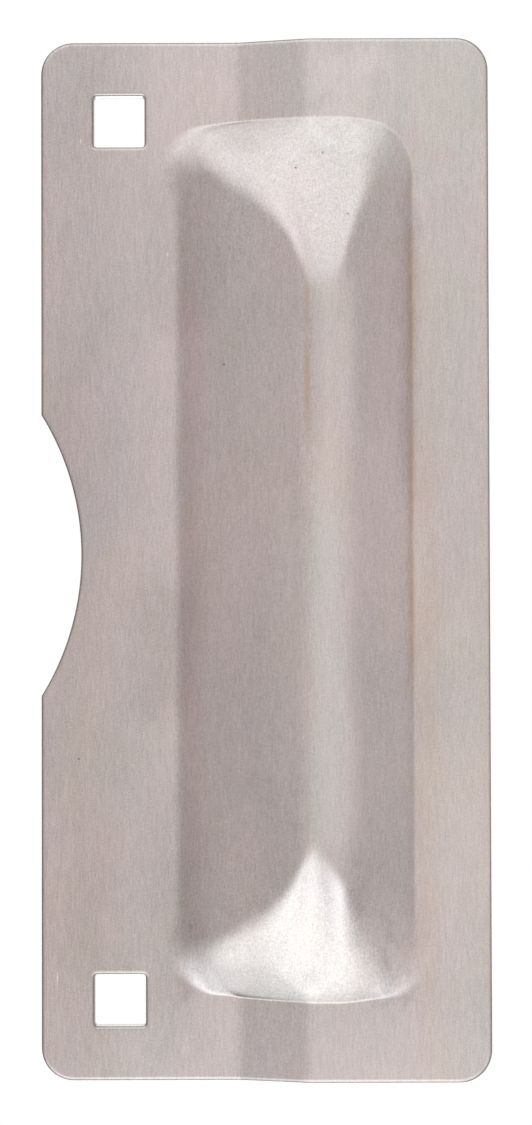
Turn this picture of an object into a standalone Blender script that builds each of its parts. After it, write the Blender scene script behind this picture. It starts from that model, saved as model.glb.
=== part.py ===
"""Pressed latch protector plate for an outward-opening door.

One sheet of stainless steel: a door flange with two square bolt holes and a shallow round notch,
a joggle, a long raised bulge with hip-shaped ends, and a frame flange.

Metres. X runs across the plate, Z up its height and Y through its thickness. The door's face is
the plane Y = 0, and the plate's front looks along -Y. The origin is on the door's face, midway
between the two bolt holes.
"""

import math

import bmesh
import bpy
import numpy as np

MM = 0.001

# The sheet
HEIGHT = 203.2 * MM
WIDTH = 87.5 * MM
THICKNESS = 2.7 * MM
CORNER_RADIUS = 6.35 * MM

# The square bolt holes, one above the other on X = 0
HOLE_SIDE = 10.0 * MM
HOLE_CORNER_RADIUS = 0.6 * MM
HOLE_SPACING = 172.0 * MM
HOLES_TO_EDGE = 15.3 * MM

# The notch that clears a round lock rose
NOTCH_RADIUS = 52.4 * MM
NOTCH_DEPTH = 7.8 * MM
NOTCH_RISE = 0.8 * MM

# The joggle, which steps the frame flange forward of the door flange
JOGGLE_START = 23.2 * MM
JOGGLE_END = 36.9 * MM
JOGGLE_RISE = 3.6 * MM
JOGGLE_BLEND = 0.35 * MM
JOGGLE_FADE = 1.8 * MM

# The bulge: feet, crown and the sides' slopes at the foot and above it
LEFT_FOOT = 11.3 * MM
RIGHT_FOOT = 57.3 * MM
END_FOOT = 86.0 * MM
LEFT_FOOT_SLOPE = 0.43
LEFT_SLOPE = 0.355
LEFT_EASE = 4.5 * MM
LEFT_ROUNDING = 0.0015 / MM
RIGHT_FOOT_SLOPE = 0.50
RIGHT_SLOPE = 0.38
RIGHT_EASE = 2.2 * MM
CROWN_LIMIT = 9.0 * MM
CROWN_BLEND = 0.9 * MM
RIDGE_BLEND = 0.3 * MM
HIP_BLEND = 1.2 * MM
LEFT_FOOT_BLEND = 0.42 * MM
RIGHT_FOOT_BLEND = 0.12 * MM
END_FOOT_BLEND = 0.08 * MM

# The ends climb from the end foot on top of the joggle, evenly and then rounding off to the crown
TOP_SLOPE = 0.178
TOP_ROUNDING = 0.0060 / MM
BOTTOM_SLOPE = 0.180
BOTTOM_ROUNDING = 0.0060 / MM
END_EVEN = 18.0 * MM
TOP_STRIP_RISE = 0.30 * MM
BOTTOM_STRIP_RISE = 0.40 * MM
END_STRIP = 2.0 * MM

# Mesh and cutters
SHEET_MARGIN = 2.0 * MM
CUTTER_HALF_DEPTH = 25.0 * MM
ARC_STEP = math.radians(7.5)
NOTCH_ARC_PIECES = 28

left_edge = -HOLES_TO_EDGE
right_edge = left_edge + WIDTH


def clear_scene():
    for item in list(bpy.data.objects):
        bpy.data.objects.remove(item, do_unlink=True)


def make_collection(name):
    collection = bpy.data.collections.new(name)
    bpy.context.scene.collection.children.link(collection)
    return collection


def blend_max(a, b, reach):
    """The larger of two heights, rounded where they are within reach of each other."""
    overlap = np.maximum(reach - np.abs(a - b), 0.0) / reach
    return np.maximum(a, b) + overlap * overlap * reach / 4.0


def blend_min(a, b, reach):
    """The smaller of two heights, rounded where they are within reach of each other."""
    return -blend_max(-a, -b, reach)


def smooth_step(value, start, end):
    """Go from 0 to 1 between start and end, level at both."""
    share = np.clip((value - start) / (end - start), 0.0, 1.0)
    return share * share * (3.0 - 2.0 * share)


def mix(a, b, share):
    return a + (b - a) * share


def joggle_height(x, reach):
    ramp = JOGGLE_RISE * (x - JOGGLE_START) / (JOGGLE_END - JOGGLE_START)
    return blend_min(blend_max(ramp, 0.0, reach), JOGGLE_RISE, reach)


def side_height(distance, foot_slope, slope, ease, rounding):
    """Height at a distance inside a foot: steep at the foot, then easing off as it climbs."""
    near = np.clip(distance, 0.0, ease)
    far = np.maximum(distance, ease) - ease
    climbed = foot_slope * near - (foot_slope - slope) * near * near / (2.0 * ease)
    climbed = climbed + slope * far - rounding * far * far / 2.0
    return np.where(distance < 0.0, foot_slope * distance, climbed)


def end_height(x, distance, slope, rounding):
    """Height at a distance inside the end foot, which lies on the joggle and smooths it out."""
    joggle = joggle_height(x, JOGGLE_BLEND + JOGGLE_FADE * smooth_step(distance, 0.0, 8.0 * MM))
    far = np.clip(distance - END_EVEN, 0.0, slope.min() / rounding)
    return joggle + slope * np.minimum(distance, END_EVEN + far) - rounding * far * far / 2.0


def corner_turn(z, depth, turn_reach):
    """How far a foot swings inwards as it rounds the corner to the end foot."""
    share = np.clip((np.abs(z) - END_FOOT + turn_reach) / turn_reach, 0.0, 0.985)
    return depth * (1.0 - np.sqrt(1.0 - share * share))


def front_height(x, z):
    """How far the front stands forward of the door flange's front."""
    top = z > 0.0
    reach = np.abs(z)
    base = joggle_height(x, JOGGLE_BLEND)
    left_foot = LEFT_FOOT + np.where(
        top, corner_turn(z, 13.0 * MM, 11.0 * MM), corner_turn(z, 16.0 * MM, 14.0 * MM)
    )
    left = side_height(x - left_foot, LEFT_FOOT_SLOPE, LEFT_SLOPE, LEFT_EASE, LEFT_ROUNDING)
    right_foot = RIGHT_FOOT - corner_turn(z, np.where(top, 10.0 * MM, 12.0 * MM), 12.0 * MM)
    right_share = 1.0 - np.where(
        top, 0.50 * smooth_step(z, 70.0 * MM, 84.0 * MM), 0.42 * smooth_step(-z, 60.0 * MM, 80.0 * MM)
    )
    right = JOGGLE_RISE + right_share * side_height(
        right_foot - x, RIGHT_FOOT_SLOPE, RIGHT_SLOPE, RIGHT_EASE, 0.0
    )
    top_slope = TOP_SLOPE + 0.12 * smooth_step(-x, -39.5 * MM, -24.5 * MM)
    top_slope = top_slope + 0.055 * smooth_step(x, 42.0 * MM, 51.0 * MM)
    bottom_slope = BOTTOM_SLOPE + 0.10 * smooth_step(-x, -39.5 * MM, -26.0 * MM)
    bottom_slope = bottom_slope + 0.06 * smooth_step(x, 36.0 * MM, 47.0 * MM)
    strip = 1.0 - np.exp(-np.clip(END_FOOT - reach, 0.0, None) / END_STRIP)
    top_end = end_height(x, END_FOOT - z, top_slope, TOP_ROUNDING) + TOP_STRIP_RISE * strip
    bottom_end = end_height(x, END_FOOT + z, bottom_slope, BOTTOM_ROUNDING)
    bottom_end = bottom_end + BOTTOM_STRIP_RISE * strip
    cornering = smooth_step(reach, 56.0 * MM, 72.0 * MM)
    end_blend = mix(RIDGE_BLEND, HIP_BLEND, cornering)
    sides = blend_min(blend_min(left, right, CROWN_BLEND), CROWN_LIMIT, CROWN_BLEND)
    roof = blend_min(sides, np.minimum(top_end, bottom_end), end_blend)
    near_end = smooth_step(END_FOOT - reach, 0.0, 2.5 * MM)
    left_corner = 1.4 * MM * smooth_step(reach, 68.0 * MM, 80.0 * MM) * near_end
    right_corner = 1.1 * MM * smooth_step(-z, 70.0 * MM, 82.0 * MM) * near_end
    leftward = smooth_step(-x, -JOGGLE_START, -17.0 * MM)
    rightward = smooth_step(x, 45.0 * MM, 52.0 * MM)
    foot_blend = mix(END_FOOT_BLEND, LEFT_FOOT_BLEND + left_corner, leftward)
    foot_blend = mix(foot_blend, RIGHT_FOOT_BLEND + right_corner, rightward)
    return blend_max(roof, base, foot_blend)


def graded_lines(stops):
    """Grid lines through (position, spacing) stops; each spacing holds up to the next stop."""
    lines = [stops[0][0]]
    for (start, spacing), (end, _) in zip(stops, stops[1:]):
        count = max(1, round((end - start) / spacing))
        lines += [start + (end - start) * (i + 1) / count for i in range(count)]
    return lines


def grid_columns():
    return graded_lines([
        (left_edge - SHEET_MARGIN, 13.0 * MM),
        (LEFT_FOOT - 2.0 * MM, 1.0 * MM),
        (LEFT_FOOT + 8.0 * MM, 1.6 * MM),
        (JOGGLE_START - 0.8 * MM, 0.8 * MM),
        (JOGGLE_START + 0.8 * MM, 1.5 * MM),
        (JOGGLE_END - 0.8 * MM, 0.8 * MM),
        (JOGGLE_END + 0.8 * MM, 1.3 * MM),
        (RIGHT_FOOT - 6.0 * MM, 1.1 * MM),
        (RIGHT_FOOT - 0.5 * MM, 0.25 * MM),
        (RIGHT_FOOT + 0.25 * MM, 8.0 * MM),
        (right_edge + SHEET_MARGIN, 1.0),
    ])


def grid_rows():
    """Rows in the upper half, finer towards the end foot, and their reflection below."""
    upper = graded_lines([
        (50.0 * MM, 1.9 * MM),
        (END_FOOT - 10.0 * MM, 1.05 * MM),
        (END_FOOT - 0.6 * MM, 0.3 * MM),
        (END_FOOT + 0.3 * MM, 9.0 * MM),
        (HEIGHT / 2.0 + SHEET_MARGIN, 1.0),
    ])
    lower = [-z for z in reversed(upper)]
    middle = graded_lines([(lower[-1], 14.0 * MM), (upper[0], 1.0)])
    return lower + middle[1:-1] + upper


def make_sheet(name, collection):
    """A grid pressed to the front's shape, then thickened back towards the door."""
    columns = grid_columns()
    rows = grid_rows()
    x, z = np.meshgrid(columns, rows)
    front = -THICKNESS - front_height(x, z)
    bm = bmesh.new()
    bmesh.ops.create_grid(bm, x_segments=len(columns) - 1, y_segments=len(rows) - 1, size=0.5)
    for vertex in bm.verts:
        column = round((vertex.co.x + 0.5) * (len(columns) - 1))
        row = round((vertex.co.y + 0.5) * (len(rows) - 1))
        vertex.co = (columns[column], front[row, column], rows[row])
    mesh = bpy.data.meshes.new(name)
    bm.to_mesh(mesh)
    bm.free()
    sheet = bpy.data.objects.new(name, mesh)
    collection.objects.link(sheet)
    solidify = sheet.modifiers.new("sheet_thickness", "SOLIDIFY")
    solidify.thickness = THICKNESS
    solidify.offset = -1.0
    solidify.use_even_offset = True
    return sheet


def arc_points(centre, radius, start, turn, pieces):
    """Points on an arc, both ends included; turn is positive anticlockwise seen from the front."""
    points = []
    for i in range(pieces + 1):
        angle = start + turn * i / pieces
        points.append((centre[0] + radius * math.cos(angle), centre[1] + radius * math.sin(angle)))
    return points


def outline_points():
    """The plate's edge in X and Z, anticlockwise seen from the front."""
    half = HEIGHT / 2.0 - CORNER_RADIUS
    inner_left = left_edge + CORNER_RADIUS
    inner_right = right_edge - CORNER_RADIUS
    quarter = math.pi / 2.0
    pieces = round(quarter / ARC_STEP)
    points = []
    for corner, (x, z) in enumerate([
        (inner_left, -half), (inner_right, -half), (inner_right, half), (inner_left, half),
    ]):
        start = math.pi + corner * quarter
        points += arc_points((x, z), CORNER_RADIUS, start, quarter, pieces)
    notch_centre = left_edge + NOTCH_DEPTH - NOTCH_RADIUS
    notch_half_angle = math.acos((left_edge - notch_centre) / NOTCH_RADIUS)
    points += arc_points(
        (notch_centre, NOTCH_RISE),
        NOTCH_RADIUS,
        notch_half_angle,
        -2.0 * notch_half_angle,
        NOTCH_ARC_PIECES,
    )
    return points


def hide_cutter(cutter):
    cutter.hide_render = True
    cutter.display_type = "WIRE"


def make_outline_cutter(collection):
    """The flat outline as a deep prism, for cutting the sheet to shape."""
    points = outline_points()
    curve = bpy.data.curves.new("outline", "CURVE")
    curve.dimensions = "2D"
    curve.fill_mode = "BOTH"
    curve.extrude = CUTTER_HALF_DEPTH
    spline = curve.splines.new("POLY")
    spline.points.add(len(points) - 1)
    for point, (x, z) in zip(spline.points, points):
        point.co = (x, z, 0.0, 1.0)
    spline.use_cyclic_u = True
    drawn = bpy.data.objects.new("outline", curve)
    drawn.rotation_euler = (math.pi / 2.0, 0.0, 0.0)
    collection.objects.link(drawn)
    depsgraph = bpy.context.evaluated_depsgraph_get()
    mesh = bpy.data.meshes.new_from_object(drawn.evaluated_get(depsgraph))
    cutter = bpy.data.objects.new("outline_cutter", mesh)
    cutter.matrix_world = drawn.matrix_world
    collection.objects.link(cutter)
    bpy.data.objects.remove(drawn, do_unlink=True)
    bm = bmesh.new()
    bm.from_mesh(mesh)
    bmesh.ops.remove_doubles(bm, verts=bm.verts, dist=0.01 * MM)
    bmesh.ops.recalc_face_normals(bm, faces=bm.faces)
    bm.to_mesh(mesh)
    bm.free()
    hide_cutter(cutter)
    return cutter


def make_square_punch(name, z, collection):
    bpy.ops.mesh.primitive_cube_add(size=1.0, location=(0.0, 0.0, z))
    punch = bpy.context.object
    punch.name = name
    punch.scale = (HOLE_SIDE, 2.0 * CUTTER_HALF_DEPTH, HOLE_SIDE)
    bpy.ops.object.transform_apply(location=False, rotation=False, scale=True)
    bevel = punch.modifiers.new("corner_radius", "BEVEL")
    bevel.width = HOLE_CORNER_RADIUS
    bevel.segments = 3
    for owner in list(punch.users_collection):
        owner.objects.unlink(punch)
    collection.objects.link(punch)
    hide_cutter(punch)
    return punch


def cut(piece, cutter, operation):
    boolean = piece.modifiers.new(cutter.name, "BOOLEAN")
    boolean.operation = operation
    boolean.object = cutter


def satin_steel():
    material = bpy.data.materials.new("satin_steel")
    material.use_nodes = True
    shader = material.node_tree.nodes["Principled BSDF"]
    shader.inputs["Base Color"].default_value = (0.60, 0.56, 0.55, 1.0)
    shader.inputs["Metallic"].default_value = 1.0
    shader.inputs["Roughness"].default_value = 0.38
    return material


def main():
    clear_scene()
    parts = make_collection("latch_protector")
    cutters = make_collection("cutters")
    plate = make_sheet("guard_plate", parts)
    cut(plate, make_outline_cutter(cutters), "INTERSECT")
    for name, side in (("top_punch", 1.0), ("bottom_punch", -1.0)):
        punch = make_square_punch(name, side * HOLE_SPACING / 2.0, cutters)
        cut(plate, punch, "DIFFERENCE")
    plate.data.materials.append(satin_steel())


main()
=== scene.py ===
"""Looks of a pressed latch protector plate: the fine sheet, brushed steel, studio light and camera."""

import math

import bpy
import numpy as np
from mathutils import Euler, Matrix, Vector
from mathutils.geometry import delaunay_2d_cdt


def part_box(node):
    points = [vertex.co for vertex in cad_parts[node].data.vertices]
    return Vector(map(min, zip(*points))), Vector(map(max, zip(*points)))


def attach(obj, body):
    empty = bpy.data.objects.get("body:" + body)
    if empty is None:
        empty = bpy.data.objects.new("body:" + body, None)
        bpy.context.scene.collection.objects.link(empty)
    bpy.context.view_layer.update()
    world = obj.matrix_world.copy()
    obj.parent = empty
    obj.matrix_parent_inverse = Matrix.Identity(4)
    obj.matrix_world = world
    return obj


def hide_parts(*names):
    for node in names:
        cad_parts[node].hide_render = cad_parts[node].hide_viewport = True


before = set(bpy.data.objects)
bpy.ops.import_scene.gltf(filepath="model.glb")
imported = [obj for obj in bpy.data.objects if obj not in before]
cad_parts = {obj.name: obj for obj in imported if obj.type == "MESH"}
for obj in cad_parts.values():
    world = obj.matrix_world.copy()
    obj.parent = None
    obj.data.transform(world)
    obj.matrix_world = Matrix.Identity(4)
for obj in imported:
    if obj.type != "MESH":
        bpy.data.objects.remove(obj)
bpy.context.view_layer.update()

MM = 0.001

# The sheet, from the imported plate
plate_low, plate_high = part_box("guard_plate")
left_edge = plate_low.x
right_edge = plate_high.x
half_height = (plate_high.z - plate_low.z) / 2.0

THICKNESS = 2.7 * MM
CORNER_RADIUS = 6.35 * MM

# The square bolt holes and the notch
HOLE_SIDE = 10.0 * MM
HOLE_CORNER_RADIUS = 0.6 * MM
HOLE_SPACING = 172.0 * MM
NOTCH_RADIUS = 52.4 * MM
NOTCH_DEPTH = 7.8 * MM
NOTCH_RISE = 0.8 * MM

# The joggle
JOGGLE_START = 23.2 * MM
JOGGLE_END = 36.9 * MM
JOGGLE_RISE = 3.6 * MM
JOGGLE_BLEND = 0.35 * MM
JOGGLE_FADE = 1.8 * MM

# The bulge: feet, crown and the sides' slopes at the foot and above it
LEFT_FOOT = 11.3 * MM
RIGHT_FOOT = 57.3 * MM
END_FOOT = 86.0 * MM
LEFT_FOOT_SLOPE = 0.43
LEFT_SLOPE = 0.355
LEFT_EASE = 4.5 * MM
LEFT_ROUNDING = 0.0015 / MM
RIGHT_FOOT_SLOPE = 0.50
RIGHT_SLOPE = 0.38
RIGHT_EASE = 2.2 * MM
CROWN_LIMIT = 9.0 * MM
CROWN_BLEND = 0.9 * MM
RIDGE_BLEND = 0.3 * MM
HIP_BLEND = 1.2 * MM
LEFT_FOOT_BLEND = 0.42 * MM
RIGHT_FOOT_BLEND = 0.12 * MM
END_FOOT_BLEND = 0.08 * MM

# The ends climb from the end foot on top of the joggle, evenly and then rounding off to the crown
TOP_SLOPE = 0.178
TOP_ROUNDING = 0.0060 / MM
BOTTOM_SLOPE = 0.180
BOTTOM_ROUNDING = 0.0060 / MM
END_EVEN = 18.0 * MM
TOP_STRIP_RISE = 0.30 * MM
BOTTOM_STRIP_RISE = 0.40 * MM
END_STRIP = 2.0 * MM

# Where each side foot rounds a corner: how far it swings inwards, and over what height
LEFT_TOP_TURN = (13.0 * MM, 11.0 * MM)
LEFT_BOTTOM_TURN = (16.0 * MM, 14.0 * MM)
RIGHT_TOP_SWING = 10.0 * MM
RIGHT_BOTTOM_SWING = 12.0 * MM
RIGHT_TURN_REACH = 12.0 * MM

# The sheet's cut edge: the front's roll, and the rings of points that follow it, in mm from it
ROLL_RADIUS = 0.55 * MM
ROLL_RINGS = (0.0, 0.06, 0.16, 0.31, 0.55, 0.85)
RING_CLEARANCE = 1.15 * MM
SLOPE_STEP = 0.05 * MM
SHARP_ANGLE = math.radians(38.0)

# The camera faces the plate from a little below its aim, rolled by a hair
CAMERA_DISTANCE = 500.0 * MM
CAMERA_VIEW_HEIGHT = 220.0 * MM
CAMERA_AIM = Vector((28.66 * MM, -THICKNESS, -0.72 * MM))
CAMERA_DROP = 11.4 * MM
CAMERA_ROLL = math.radians(-0.16)
SENSOR_WIDTH = 36.0

# Colours of the metal and its marks, and of the light, whose windows are brighter than white
STEEL = (0.638, 0.638, 0.638, 1.0)
STAIN = (0.55, 0.39, 0.27, 1.0)
PIT = (0.10, 0.08, 0.08, 1.0)
SCRATCH = (0.92, 0.90, 0.88, 1.0)
ROOM = (1.0, 0.93, 0.915, 1.0)
TOP_WINDOW = (1.46, 1.475, 1.465, 1.0)
BOTTOM_WINDOW = (1.79, 1.87, 1.90, 1.0)
BACKDROP = (1.0, 1.0, 1.0, 1.0)


# ---- Shape -------------------------------------------------------------------------------------

def blend_max(a, b, reach):
    """The larger of two heights, rounded where they are within reach of each other."""
    overlap = np.maximum(reach - np.abs(a - b), 0.0) / reach
    return np.maximum(a, b) + overlap * overlap * reach / 4.0


def blend_min(a, b, reach):
    """The smaller of two heights, rounded where they are within reach of each other."""
    return -blend_max(-a, -b, reach)


def smooth_step(value, start, end):
    """Go from 0 to 1 between start and end, level at both."""
    share = np.clip((value - start) / (end - start), 0.0, 1.0)
    return share * share * (3.0 - 2.0 * share)


def mix(a, b, share):
    return a + (b - a) * share


def joggle_height(x, reach):
    ramp = JOGGLE_RISE * (x - JOGGLE_START) / (JOGGLE_END - JOGGLE_START)
    return blend_min(blend_max(ramp, 0.0, reach), JOGGLE_RISE, reach)


def side_height(distance, foot_slope, slope, ease, rounding):
    """Height at a distance inside a foot: steep at the foot, then easing off as it climbs."""
    near = np.clip(distance, 0.0, ease)
    far = np.maximum(distance, ease) - ease
    climbed = foot_slope * near - (foot_slope - slope) * near * near / (2.0 * ease)
    climbed = climbed + slope * far - rounding * far * far / 2.0
    return np.where(distance < 0.0, foot_slope * distance, climbed)


def end_height(x, distance, slope, rounding):
    """Height at a distance inside the end foot, which lies on the joggle and smooths it out."""
    joggle = joggle_height(x, JOGGLE_BLEND + JOGGLE_FADE * smooth_step(distance, 0.0, 8.0 * MM))
    far = np.clip(distance - END_EVEN, 0.0, slope.min() / rounding)
    return joggle + slope * np.minimum(distance, END_EVEN + far) - rounding * far * far / 2.0


def corner_turn(z, depth, turn_reach):
    """How far a foot swings inwards as it rounds the corner to the end foot."""
    share = np.clip((np.abs(z) - END_FOOT + turn_reach) / turn_reach, 0.0, 0.985)
    return depth * (1.0 - np.sqrt(1.0 - share * share))


def front_height(x, z):
    """How far the front stands forward of the door flange's front."""
    top = z > 0.0
    reach = np.abs(z)
    base = joggle_height(x, JOGGLE_BLEND)
    left_foot = LEFT_FOOT + np.where(
        top, corner_turn(z, *LEFT_TOP_TURN), corner_turn(z, *LEFT_BOTTOM_TURN)
    )
    left = side_height(x - left_foot, LEFT_FOOT_SLOPE, LEFT_SLOPE, LEFT_EASE, LEFT_ROUNDING)
    right_swing = np.where(top, RIGHT_TOP_SWING, RIGHT_BOTTOM_SWING)
    right_foot = RIGHT_FOOT - corner_turn(z, right_swing, RIGHT_TURN_REACH)

    # The right side sinks towards both ends
    right_share = 1.0 - np.where(
        top, 0.50 * smooth_step(z, 70.0 * MM, 84.0 * MM), 0.42 * smooth_step(-z, 60.0 * MM, 80.0 * MM)
    )
    right = JOGGLE_RISE + right_share * side_height(
        right_foot - x, RIGHT_FOOT_SLOPE, RIGHT_SLOPE, RIGHT_EASE, 0.0
    )

    # The ends climb faster away from the crown, and start from a short steep strip
    top_slope = TOP_SLOPE + 0.12 * smooth_step(-x, -39.5 * MM, -24.5 * MM)
    top_slope = top_slope + 0.055 * smooth_step(x, 42.0 * MM, 51.0 * MM)
    bottom_slope = BOTTOM_SLOPE + 0.10 * smooth_step(-x, -39.5 * MM, -26.0 * MM)
    bottom_slope = bottom_slope + 0.06 * smooth_step(x, 36.0 * MM, 47.0 * MM)
    strip = 1.0 - np.exp(-np.clip(END_FOOT - reach, 0.0, None) / END_STRIP)
    top_end = end_height(x, END_FOOT - z, top_slope, TOP_ROUNDING) + TOP_STRIP_RISE * strip
    bottom_end = end_height(x, END_FOOT + z, bottom_slope, BOTTOM_ROUNDING)
    bottom_end = bottom_end + BOTTOM_STRIP_RISE * strip

    # The bulge is the lowest of its sides, crown and ends, and its edges soften towards the hips
    cornering = smooth_step(reach, 56.0 * MM, 72.0 * MM)
    end_blend = mix(RIDGE_BLEND, HIP_BLEND, cornering)
    sides = blend_min(blend_min(left, right, CROWN_BLEND), CROWN_LIMIT, CROWN_BLEND)
    roof = blend_min(sides, np.minimum(top_end, bottom_end), end_blend)

    # It meets the flanges in a fillet, which is broad at the corners and tight along the ends
    near_end = smooth_step(END_FOOT - reach, 0.0, 2.5 * MM)
    left_corner = 1.4 * MM * smooth_step(reach, 68.0 * MM, 80.0 * MM) * near_end
    right_corner = 1.1 * MM * smooth_step(-z, 70.0 * MM, 82.0 * MM) * near_end
    leftward = smooth_step(-x, -JOGGLE_START, -17.0 * MM)
    rightward = smooth_step(x, 45.0 * MM, 52.0 * MM)
    foot_blend = mix(END_FOOT_BLEND, LEFT_FOOT_BLEND + left_corner, leftward)
    foot_blend = mix(foot_blend, RIGHT_FOOT_BLEND + right_corner, rightward)
    return blend_max(roof, base, foot_blend)


def front_slopes(x, z):
    step = SLOPE_STEP
    across = (front_height(x + step, z) - front_height(x - step, z)) / (2.0 * step)
    along = (front_height(x, z + step) - front_height(x, z - step)) / (2.0 * step)
    return across, along


def rounded_box_distance(x, z, centre, half_size, radius):
    """Distance outside a rounded rectangle, negative inside."""
    reach_x = np.abs(x - centre[0]) - (half_size[0] - radius)
    reach_z = np.abs(z - centre[1]) - (half_size[1] - radius)
    outside = np.hypot(np.maximum(reach_x, 0.0), np.maximum(reach_z, 0.0))
    return outside + np.minimum(np.maximum(reach_x, reach_z), 0.0) - radius


def edge_distance(x, z):
    """Distance from a point on the sheet to the nearest cut edge."""
    centre = ((left_edge + right_edge) / 2.0, 0.0)
    half_size = ((right_edge - left_edge) / 2.0, half_height)
    nearest = -rounded_box_distance(x, z, centre, half_size, CORNER_RADIUS)
    notch_x = left_edge + NOTCH_DEPTH - NOTCH_RADIUS
    nearest = np.minimum(nearest, np.hypot(x - notch_x, z - NOTCH_RISE) - NOTCH_RADIUS)
    half_hole = (HOLE_SIDE / 2.0, HOLE_SIDE / 2.0)
    for side in (-1.0, 1.0):
        hole = (0.0, side * HOLE_SPACING / 2.0)
        nearest = np.minimum(
            nearest, rounded_box_distance(x, z, hole, half_hole, HOLE_CORNER_RADIUS)
        )
    return nearest


# ---- Sheet mesh --------------------------------------------------------------------------------

def arc(centre, radius, start, turn, pieces):
    angles = start + turn * np.arange(pieces) / pieces
    return np.c_[centre[0] + radius * np.cos(angles), centre[1] + radius * np.sin(angles)]


def line(start, end, pieces):
    shares = np.arange(pieces)[:, None] / pieces
    return np.array(start) + (np.array(end) - np.array(start)) * shares


def plate_ring(inset):
    """The plate's outline, moved inwards, as one closed ring of points."""
    quarter = math.pi / 2.0
    half = half_height - CORNER_RADIUS
    left, right = left_edge + inset, right_edge - inset
    low, high = -half_height + inset, half_height - inset
    inner_left, inner_right = left_edge + CORNER_RADIUS, right_edge - CORNER_RADIUS
    radius = CORNER_RADIUS - inset
    notch_x = left_edge + NOTCH_DEPTH - NOTCH_RADIUS
    notch_radius = NOTCH_RADIUS + inset
    notch_angle = math.acos((left - notch_x) / notch_radius)
    notch_reach = notch_radius * math.sin(notch_angle)
    notch_top, notch_bottom = NOTCH_RISE + notch_reach, NOTCH_RISE - notch_reach
    return np.concatenate([
        arc((inner_left, -half), radius, math.pi, quarter, 12),
        line((inner_left, low), (inner_right, low), 100),
        arc((inner_right, -half), radius, -quarter, quarter, 12),
        line((right, -half), (right, half), 150),
        arc((inner_right, half), radius, 0.0, quarter, 12),
        line((inner_right, high), (inner_left, high), 100),
        arc((inner_left, half), radius, quarter, quarter, 12),
        line((left, half), (left, notch_top), 60),
        arc((notch_x, NOTCH_RISE), notch_radius, notch_angle, -2.0 * notch_angle, 60),
        line((left, notch_bottom), (left, -half), 60),
    ])


def hole_ring(centre_z, outset):
    """A square hole's outline, moved outwards, as one closed ring of points."""
    quarter = math.pi / 2.0
    reach = HOLE_SIDE / 2.0 + outset
    inner = HOLE_SIDE / 2.0 - HOLE_CORNER_RADIUS
    radius = HOLE_CORNER_RADIUS + outset
    pieces = []
    for corner in range(4):
        turn = corner * quarter
        ahead = np.array((math.cos(turn), math.sin(turn)))
        side = np.array((-math.sin(turn), math.cos(turn)))
        centre = (ahead + side) * inner
        pieces.append(line(ahead * reach - side * inner, ahead * reach + side * inner, 12))
        pieces.append(arc(centre, radius, turn, quarter, 5))
    return np.concatenate(pieces) + np.array((0.0, centre_z))


def graded_lines(stops):
    """Line places from the first stop to the last, with each stop's spacing up to the next."""
    lines = [stops[0][0]]
    for (start, spacing), (end, _) in zip(stops, stops[1:]):
        count = max(1, round((end - start) / spacing))
        lines += [start + (end - start) * (i + 1) / count for i in range(count)]
    return np.array(lines)


def inner_points():
    """A grid of points that is finer where the sheet bends, kept clear of the edge rings."""
    columns = graded_lines([
        (left_edge, 1.2 * MM),
        (LEFT_FOOT - 2.0 * MM, 0.45 * MM),
        (LEFT_FOOT + 8.0 * MM, 0.8 * MM),
        (JOGGLE_START - 0.8 * MM, 0.3 * MM),
        (JOGGLE_START + 1.0 * MM, 0.7 * MM),
        (JOGGLE_END - 1.0 * MM, 0.35 * MM),
        (JOGGLE_END + 1.0 * MM, 0.6 * MM),
        (RIGHT_FOOT - 6.0 * MM, 0.45 * MM),
        (RIGHT_FOOT - 1.2 * MM, 0.2 * MM),
        (RIGHT_FOOT + 0.8 * MM, 1.2 * MM),
        (right_edge, 1.0),
    ])
    rows = graded_lines([
        (-half_height, 1.0 * MM),
        (-END_FOOT - 1.0 * MM, 0.2 * MM),
        (-END_FOOT + 1.0 * MM, 0.55 * MM),
        (-48.0 * MM, 1.3 * MM),
        (46.0 * MM, 0.55 * MM),
        (END_FOOT - 1.0 * MM, 0.2 * MM),
        (END_FOOT + 1.0 * MM, 1.0 * MM),
        (half_height, 1.0),
    ])
    x, z = (values.ravel() for values in np.meshgrid(columns, rows))
    clear = edge_distance(x, z) > RING_CLEARANCE
    return np.c_[x, z][clear]


def triangulate():
    """Flat triangles over the sheet, whose rings follow every cut edge."""
    points, edges = [], []
    rings = [plate_ring(inset * MM) for inset in ROLL_RINGS]
    for side in (-1.0, 1.0):
        rings += [hole_ring(side * HOLE_SPACING / 2.0, outset * MM) for outset in ROLL_RINGS]
    for ring in rings:
        first = len(points)
        count = len(ring)
        points += [Vector(point) for point in ring]
        edges += [(first + i, first + (i + 1) % count) for i in range(count)]
    points += [Vector(point) for point in inner_points()]
    found, _, triangles = delaunay_2d_cdt(points, edges, [], 1, 1e-9)[:3]
    flat = np.array([tuple(point) for point in found])
    triangles = np.array(triangles)
    middles = flat[triangles].mean(axis=1)
    on_sheet = edge_distance(middles[:, 0], middles[:, 1]) > 0.0
    return flat, triangles[on_sheet]


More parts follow.
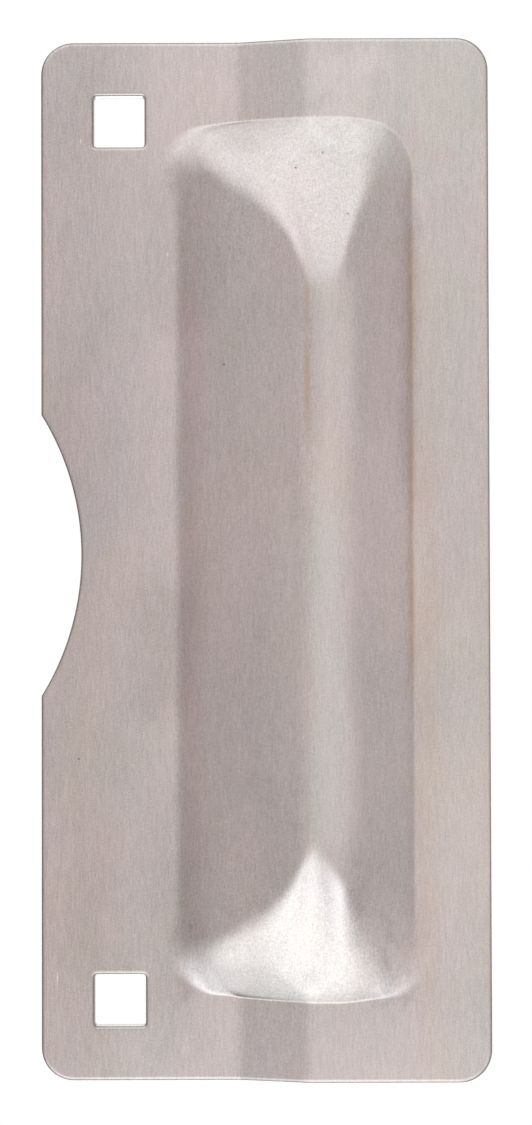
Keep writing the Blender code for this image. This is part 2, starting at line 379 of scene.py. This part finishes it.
def make_plate(name):
    """The plate as one closed mesh: front, back and the walls between them along every cut edge."""
    flat, triangles = triangulate()
    x, z = flat[:, 0], flat[:, 1]
    height = front_height(x, z)
    across, along = front_slopes(x, z)
    edge = edge_distance(x, z)
    sunk = ROLL_RADIUS - np.clip(edge, 0.0, ROLL_RADIUS)
    roll = ROLL_RADIUS - np.sqrt(ROLL_RADIUS ** 2 - sunk ** 2)
    front_y = -THICKNESS - height + roll
    back_y = -THICKNESS - height + THICKNESS * np.sqrt(1.0 + across ** 2 + along ** 2)
    front = np.c_[x, front_y, z]
    back = np.c_[x, np.minimum(back_y, 0.0), z]
    count = len(flat)

    # Every triangle faces forwards; the edges that only one of them uses carry the walls
    corners = flat[triangles]
    first, second = corners[:, 1] - corners[:, 0], corners[:, 2] - corners[:, 0]
    clockwise = first[:, 0] * second[:, 1] - first[:, 1] * second[:, 0] < 0.0
    triangles[clockwise] = triangles[clockwise][:, ::-1]
    directed = np.concatenate([triangles[:, [0, 1]], triangles[:, [1, 2]], triangles[:, [2, 0]]])
    known = {(int(a), int(b)) for a, b in directed}
    rim = [(a, b) for a, b in known if (b, a) not in known]
    rim.sort()
    walls = [(b, a, a + count, b + count) for a, b in rim]
    faces = triangles.tolist() + (triangles[:, ::-1] + count).tolist() + walls

    mesh = bpy.data.meshes.new(name)
    mesh.from_pydata(np.concatenate([front, back]).tolist(), [], faces)
    mesh.validate()
    mesh.shade_smooth()
    mesh.set_sharp_from_angle(angle=SHARP_ANGLE)
    layer = mesh.uv_layers.new(name="sheet")
    loop_vertices = np.zeros(len(mesh.loops), np.int32)
    mesh.loops.foreach_get("vertex_index", loop_vertices)
    flat_twice = np.concatenate([flat, flat])
    uv = (flat_twice[loop_vertices] - np.array((left_edge, -half_height))) / (2.0 * half_height)
    layer.data.foreach_set("uv", uv.astype(np.float32).ravel())
    plate = bpy.data.objects.new(name, mesh)
    bpy.context.scene.collection.objects.link(plate)
    return plate


# ---- Material ----------------------------------------------------------------------------------

class Nodes:
    """Short calls for building a node tree."""

    def __init__(self, tree):
        self.tree = tree

    def add(self, kind, **settings):
        node = self.tree.nodes.new(kind)
        for key, value in settings.items():
            setattr(node, key, value)
        return node

    def feed(self, socket, value):
        if isinstance(value, bpy.types.NodeSocket):
            self.tree.links.new(value, socket)
        else:
            socket.default_value = value

    def math(self, operation, a, b=0.0):
        node = self.add("ShaderNodeMath", operation=operation)
        for socket, value in zip(node.inputs, (a, b)):
            self.feed(socket, value)
        return node.outputs[0]

    def remap(self, value, low, high, to_low=0.0, to_high=1.0):
        """Go smoothly from one level to another as a value goes from low to high."""
        node = self.add("ShaderNodeMapRange", interpolation_type="SMOOTHSTEP")
        for name, item in zip(
            ("Value", "From Min", "From Max", "To Min", "To Max"),
            (value, low, high, to_low, to_high),
        ):
            self.feed(node.inputs[name], item)
        return node.outputs[0]

    def mix(self, share, a, b, blend="MIX"):
        node = self.add("ShaderNodeMix", data_type="RGBA", blend_type=blend)
        self.feed(node.inputs[0], share)
        self.feed(node.inputs[6], a)
        self.feed(node.inputs[7], b)
        return node.outputs[2]

    def grey(self, value):
        node = self.add("ShaderNodeCombineColor")
        for channel in node.inputs:
            self.feed(channel, value)
        return node.outputs[0]

    def noise(self, vector, scale, detail=2.0, roughness=0.5):
        node = self.add("ShaderNodeTexNoise")
        self.feed(node.inputs["Vector"], vector)
        self.feed(node.inputs["Scale"], scale)
        self.feed(node.inputs["Detail"], detail)
        self.feed(node.inputs["Roughness"], roughness)
        return node.outputs["Fac"]

    def stretched(self, vector, scale):
        node = self.add("ShaderNodeMapping")
        self.feed(node.inputs["Vector"], vector)
        node.inputs["Scale"].default_value = scale
        return node.outputs["Vector"]

    def bell(self, value, centre, width):
        """1 at the centre, falling off to each side."""
        offset = self.math("DIVIDE", self.math("SUBTRACT", value, centre * MM), width * MM)
        return self.math("EXPONENT", self.math("MULTIPLY", self.math("MULTIPLY", offset, offset), -1.0))

    def span(self, value, start, end, soft):
        """1 between the start and the end, fading over a soft edge."""
        inside = self.remap(value, (start - soft) * MM, (start + soft) * MM)
        return self.math("MULTIPLY", inside, self.remap(value, (end + soft) * MM, (end - soft) * MM))

    def add_patches(self, total, x, z, patches):
        """Add soft-edged patches; each is its amount, its span across and its span up, in mm."""
        for amount, across, along in patches:
            patch = self.math("MULTIPLY", self.span(x, *across), self.span(z, *along))
            total = self.math("ADD", total, self.math("MULTIPLY", patch, amount))
        return total


def brushed_steel():
    """Anisotropic steel with fine upright grain, cloudy discoloration, stains, pits and scratches, and
    painted highlights and shade.
    """
    material = bpy.data.materials.new("brushed_steel")
    material.use_nodes = True
    tree = material.node_tree
    tree.nodes.clear()
    n = Nodes(tree)
    output = n.add("ShaderNodeOutputMaterial")
    shader = n.add("ShaderNodeBsdfPrincipled")
    tree.links.new(shader.outputs["BSDF"], output.inputs["Surface"])
    shader.inputs["Metallic"].default_value = 1.0
    shader.inputs["Anisotropic"].default_value = 0.7
    tangent = n.add("ShaderNodeTangent", direction_type="UV_MAP", uv_map="sheet")
    tree.links.new(tangent.outputs["Tangent"], shader.inputs["Tangent"])

    place = n.add("ShaderNodeTexCoord").outputs["Object"]
    split = n.add("ShaderNodeSeparateXYZ")
    n.feed(split.inputs[0], place)
    x, z = split.outputs["X"], split.outputs["Z"]

    grain = n.noise(n.stretched(place, (1.0, 1.0, 0.10)), 3600.0, 2.0, 0.6)
    streaks = n.noise(n.stretched(place, (1.0, 1.0, 0.10)), 900.0, 3.0, 0.6)
    speckle = n.noise(place, 3000.0, 1.0, 0.5)
    blotch = n.noise(n.stretched(place, (1.0, 1.0, 0.55)), 75.0, 3.0, 0.55)
    cloud = n.noise(n.stretched(place, (1.0, 1.0, 0.5)), 30.0, 3.0, 0.55)
    haze = n.noise(n.stretched(place, (1.2, 1.0, 0.6)), 48.0, 4.0, 0.6)

    # The patches of tint and of light and dark, some of them painted shade and highlight, have ragged
    # edges, so they are laid out on drifting coordinates
    drift = n.math("SUBTRACT", n.noise(place, 110.0, 3.0, 0.6), 0.5)
    patch_x = n.math("ADD", x, n.math("MULTIPLY", drift, 5.0 * MM))
    patch_z = n.math("ADD", z, n.math("MULTIPLY", drift, 50.0 * MM))

    # Redness, in steps of about one per cent: warm along the left foot, greyer on the crown
    redness = n.remap(haze, 0.36, 0.64, -1.5, 1.9)
    redness = n.add_patches(redness, patch_x, patch_z, (
        (3.6, (12.2, 16.5, 1.6), (-78.0, 66.0, 8.0)),
        (0.9, (12.0, 36.0, 2.0), (-62.0, 60.0, 5.0)),
        (2.6, (-15.0, 0.0, 4.0), (-96.0, -56.0, 8.0)),
        (2.2, (-15.0, -7.0, 3.0), (8.0, 40.0, 6.0)),
        (2.2, (48.0, 56.0, 2.0), (25.0, 62.0, 8.0)),
        (-4.2, (37.5, 44.0, 1.0), (-52.0, 14.0, 6.0)),
        (-1.8, (59.0, 73.0, 2.0), (-102.0, 102.0, 2.0)),
        (-3.3, (33.0, 73.0, 5.0), (80.0, 102.0, 5.0)),
    ))
    yellowness = n.remap(blotch, 0.36, 0.64, 0.0, 2.9)
    yellowness = n.add_patches(yellowness, patch_x, patch_z, (
        (1.8, (58.0, 73.0, 2.0), (-102.0, 102.0, 2.0)),
        (1.6, (-15.0, 12.0, 4.0), (-102.0, -20.0, 12.0)),
        (1.4, (36.0, 45.0, 1.0), (-56.0, 56.0, 4.0)),
        (-1.2, (-15.0, 12.0, 4.0), (0.0, 102.0, 12.0)),
    ))
    green = n.math("SUBTRACT", 0.925, n.math("MULTIPLY", redness, 0.0118))
    blue = n.math("SUBTRACT", green, n.math("MULTIPLY", yellowness, 0.0118))
    tint = n.add("ShaderNodeCombineColor")
    n.feed(tint.inputs["Red"], 1.0)
    n.feed(tint.inputs["Green"], green)
    n.feed(tint.inputs["Blue"], blue)
    colour = n.mix(1.0, STEEL, tint.outputs[0], "MULTIPLY")

    # Brown stains beside the crown and along the right foot
    wander = n.noise(n.stretched(place, (1.0, 1.0, 0.35)), 160.0, 3.0, 0.6)
    crown_streak = n.math("MULTIPLY", n.bell(x, 36.6, 0.7), n.span(z, 22.0, 54.0, 5.0))
    foot_streak = n.math("MULTIPLY", n.bell(x, 57.0, 0.85), n.span(z, -24.0, 74.0, 8.0))
    foot_haze = n.math("MULTIPLY", n.bell(x, 60.0, 2.8), n.span(z, -96.0, 30.0, 26.0))
    stain = n.math("MULTIPLY", n.math("MAXIMUM", crown_streak, foot_streak), 0.85)
    stain = n.math("MAXIMUM", stain, n.math("MULTIPLY", foot_haze, 0.35))
    stain = n.math("MULTIPLY", stain, n.remap(wander, 0.30, 0.55))
    colour = n.mix(n.math("MULTIPLY", stain, 0.60), colour, STAIN)

    # Light and dark: a painted highlight runs along the crown, and the door flange darkens towards
    # its left edge. The three patches of -0.10 and -0.11 below the middle are painted shade that makes
    # up for shape: the lower hip is modelled broader than the real one, and they darken its left
    # corner, right edge and right corner.
    leftward_darkening = n.remap(x, 11.0 * MM, -9.0 * MM, 0.03, 0.17)
    crown_highlight = n.math("MULTIPLY", n.bell(x, 40.5, 3.4), n.span(z, -56.0, 56.0, 5.0))
    hips = n.math("ADD", n.span(z, 60.0, 86.0, 5.0), n.span(z, -86.0, -62.0, 5.0))
    hips = n.math("MULTIPLY", hips, n.span(x, 20.0, 49.0, 4.0))
    shade = n.math("ADD", 0.82, n.math("MULTIPLY", grain, 0.36))
    for noise, amount in ((streaks, 0.11), (cloud, 0.28), (haze, 0.20)):
        shade = n.math("ADD", shade, n.math("MULTIPLY", n.math("SUBTRACT", noise, 0.5), amount))
    sparkle = n.math("ADD", 0.44, n.math("MULTIPLY", hips, 0.18))
    shade = n.math("ADD", shade, n.math("MULTIPLY", n.math("SUBTRACT", speckle, 0.5), sparkle))
    # The door flange darkens towards its left edge
    shade = n.math("SUBTRACT", shade, leftward_darkening)
    # A painted highlight along the crown
    shade = n.math("ADD", shade, n.math("MULTIPLY", crown_highlight, 0.04))
    shade = n.add_patches(shade, patch_x, patch_z, (
        # Lighter over the left slope and the lower right flange
        (0.05, (16.0, 35.0, 2.5), (-12.0, 48.0, 14.0)),
        (0.07, (29.0, 36.0, 3.0), (-48.0, 12.0, 8.0)),
        (0.06, (58.0, 80.0, 1.0), (-72.0, -14.0, 14.0)),
        # Painted shade along the left foot: in its crease and over its lower part
        (-0.13, (3.0, 14.0, 4.0), (-32.0, -4.0, 7.0)),
        (-0.08, (5.0, 17.0, 4.0), (-102.0, -50.0, 10.0)),
        # Painted shade on the lower hip, standing in for shape
        (-0.10, (12.0, 16.5, 1.6), (-82.0, -72.0, 2.5)),
        (-0.10, (43.5, 47.5, 1.6), (-72.0, -61.0, 4.0)),
        (-0.11, (50.0, 57.5, 1.6), (-83.5, -76.5, 2.5)),
        # Painted shade along the left foot's upper part
        (-0.08, (5.0, 19.0, 4.0), (43.0, 76.0, 8.0)),
        # Painted shade in the right foot's crease
        (-0.11, (54.5, 58.5, 1.4), (10.0, 66.0, 8.0)),
        # A painted highlight at the top end of the bulge, standing in for shape
        (0.08, (38.0, 52.0, 4.0), (84.0, 96.0, 4.0)),
    ))
    shade = n.add_patches(shade, x, z, (
        # A painted highlight along the crown's right edge
        (0.05, (43.6, 46.4, 1.2), (-54.0, 54.0, 3.0)),
        (0.08, (43.0, 46.6, 1.4), (-54.0, -28.0, 8.0)),
        (0.08, (42.8, 46.0, 1.4), (26.0, 54.0, 8.0)),
        # Darker just inside the crown's left edge
        (-0.07, (36.5, 40.0, 1.0), (22.0, 58.0, 6.0)),
    ))
    colour = n.mix(1.0, colour, n.grey(shade), "MULTIPLY")

    # Small pits and short light scratches
    for pit_x, pit_z in ((39.9, 78.9), (34.6, 75.9), (44.7, 66.5), (20.6, 37.8), (-8.0, -39.0)):
        pit = n.math("MULTIPLY", n.bell(x, pit_x, 0.17), n.bell(z, pit_z, 0.17))
        colour = n.mix(pit, colour, PIT)
    for nick_x, nick_z, length in ((-7.5, 82.2, 0.4), (9.5, 59.8, 0.3), (-12.2, -81.5, 1.0)):
        nick = n.math("MULTIPLY", n.bell(x, nick_x, 0.12), n.bell(z, nick_z, length))
        colour = n.mix(n.math("MULTIPLY", nick, 0.8), colour, SCRATCH)
    n.feed(shader.inputs["Base Color"], colour)

    roughness = n.math("ADD", 0.25, n.math("MULTIPLY", grain, 0.10))
    roughness = n.math("ADD", roughness, n.math("MULTIPLY", cloud, 0.04))
    n.feed(shader.inputs["Roughness"], roughness)

    bump = n.add("ShaderNodeBump")
    bump.inputs["Strength"].default_value = 0.25
    bump.inputs["Distance"].default_value = 0.02 * MM
    n.feed(bump.inputs["Height"], grain)
    n.feed(shader.inputs["Normal"], bump.outputs["Normal"])
    return material


def pale_floor():
    material = bpy.data.materials.new("pale_floor")
    material.use_nodes = True
    n = Nodes(material.node_tree)
    shader = material.node_tree.nodes["Principled BSDF"]
    shader.inputs["Roughness"].default_value = 0.8
    place = n.add("ShaderNodeTexCoord").outputs["Object"]
    patches = n.noise(place, 3.0, 3.0, 0.5)
    colour = n.mix(patches, (0.80, 0.80, 0.79, 1.0), (0.84, 0.84, 0.83, 1.0))
    n.feed(shader.inputs["Base Color"], colour)
    return material


# ---- Studio ------------------------------------------------------------------------------------

def make_world():
    """A warm room with a window above and one below, behind the camera and behind the plate."""
    world = bpy.data.worlds.new("studio")
    bpy.context.scene.world = world
    world.use_nodes = True
    tree = world.node_tree
    tree.nodes.clear()
    n = Nodes(tree)
    ray = n.add("ShaderNodeTexCoord").outputs["Generated"]
    split = n.add("ShaderNodeSeparateXYZ")
    n.feed(split.inputs[0], ray)
    right, up = split.outputs["X"], split.outputs["Z"]
    depth = n.math("MAXIMUM", n.math("ABSOLUTE", split.outputs["Y"]), 0.02)
    rise = n.math("DIVIDE", up, depth)

    # The room is darker to the left than to the right, with a dim panel high on the right
    left_fade = n.remap(right, -0.85, -0.02, 0.53, 0.94)
    right_fade = n.remap(right, 0.10, 0.85, 1.0, 0.74)
    flag = n.math("MULTIPLY", n.remap(right, 0.20, 0.32), n.remap(right, 0.60, 0.44))
    flag = n.math("MULTIPLY", n.math("MULTIPLY", flag, n.remap(rise, 0.10, 0.28)), 0.20)
    right_fade = n.math("MULTIPLY", right_fade, n.math("SUBTRACT", 1.0, flag))

    # It is dark all round in the plate's own plane
    rim_fade = n.remap(depth, 0.10, 0.45, 0.12, 1.0)

    # Both windows have soft edges, and their inner edges lie further out on the left
    across = n.math("MULTIPLY", n.remap(right, -0.68, -0.52), n.remap(right, 0.26, 0.10))
    leftward = n.remap(right, 0.04, -0.12, 0.0, 0.10)
    top_share = n.math("MULTIPLY", n.remap(n.math("SUBTRACT", rise, leftward), 0.125, 0.36), across)
    bottom_share = n.math("MULTIPLY", n.remap(n.math("ADD", rise, leftward), -0.11, -0.36), across)
    top_fade = n.remap(right, -0.55, 0.15, 0.92, 1.08)
    top_fade = n.math("MULTIPLY", top_fade, n.remap(rise, 0.80, 1.60, 1.0, 0.80))
    bottom_fade = n.remap(right, -0.5, 0.0, 0.90, 1.34)
    bottom_fade = n.math("MULTIPLY", bottom_fade, n.remap(rise, -0.60, -1.10, 1.0, 0.68))
    level = n.math("MULTIPLY", left_fade, right_fade)
    colour = n.mix(1.0, ROOM, n.grey(level), "MULTIPLY")
    top_window = n.mix(1.0, TOP_WINDOW, n.grey(top_fade), "MULTIPLY")
    bottom_window = n.mix(1.0, BOTTOM_WINDOW, n.grey(bottom_fade), "MULTIPLY")
    colour = n.mix(top_share, colour, top_window)
    colour = n.mix(bottom_share, colour, bottom_window)
    colour = n.mix(1.0, colour, n.grey(rim_fade), "MULTIPLY")
    reflected = n.add("ShaderNodeBackground")
    n.feed(reflected.inputs["Color"], colour)
    backdrop = n.add("ShaderNodeBackground")
    backdrop.inputs["Color"].default_value = BACKDROP
    seen = n.add("ShaderNodeLightPath").outputs["Is Camera Ray"]
    blend = n.add("ShaderNodeMixShader")
    n.feed(blend.inputs[0], seen)
    tree.links.new(reflected.outputs[0], blend.inputs[1])
    tree.links.new(backdrop.outputs[0], blend.inputs[2])
    output = n.add("ShaderNodeOutputWorld")
    tree.links.new(blend.outputs[0], output.inputs["Surface"])


def make_floor():
    bpy.ops.mesh.primitive_plane_add(size=1.0, location=(0.03, -0.25, -0.6))
    floor = bpy.context.object
    floor.name = "floor"
    floor.scale = (5.0, 3.4, 1.0)
    floor.visible_glossy = False
    floor.data.materials.append(pale_floor())
    return floor


def make_camera():
    camera = bpy.data.cameras.new("camera")
    camera.sensor_width = SENSOR_WIDTH
    camera.lens = SENSOR_WIDTH * CAMERA_DISTANCE / CAMERA_VIEW_HEIGHT
    camera.clip_start = 0.01
    holder = bpy.data.objects.new("camera", camera)
    holder.location = CAMERA_AIM + Vector((0.0, -CAMERA_DISTANCE, -CAMERA_DROP))
    facing = (CAMERA_AIM - holder.location).to_track_quat("-Z", "Y")
    roll = Euler((0.0, 0.0, CAMERA_ROLL)).to_quaternion()
    holder.rotation_euler = (facing @ roll).to_euler()
    bpy.context.scene.collection.objects.link(holder)
    bpy.context.scene.camera = holder


bpy.context.scene.view_settings.view_transform = "Standard"
make_camera()
make_world()

plate = make_plate("pressed_plate")
plate.data.materials.append(brushed_steel())
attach(plate, "root")
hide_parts("guard_plate")
make_floor()
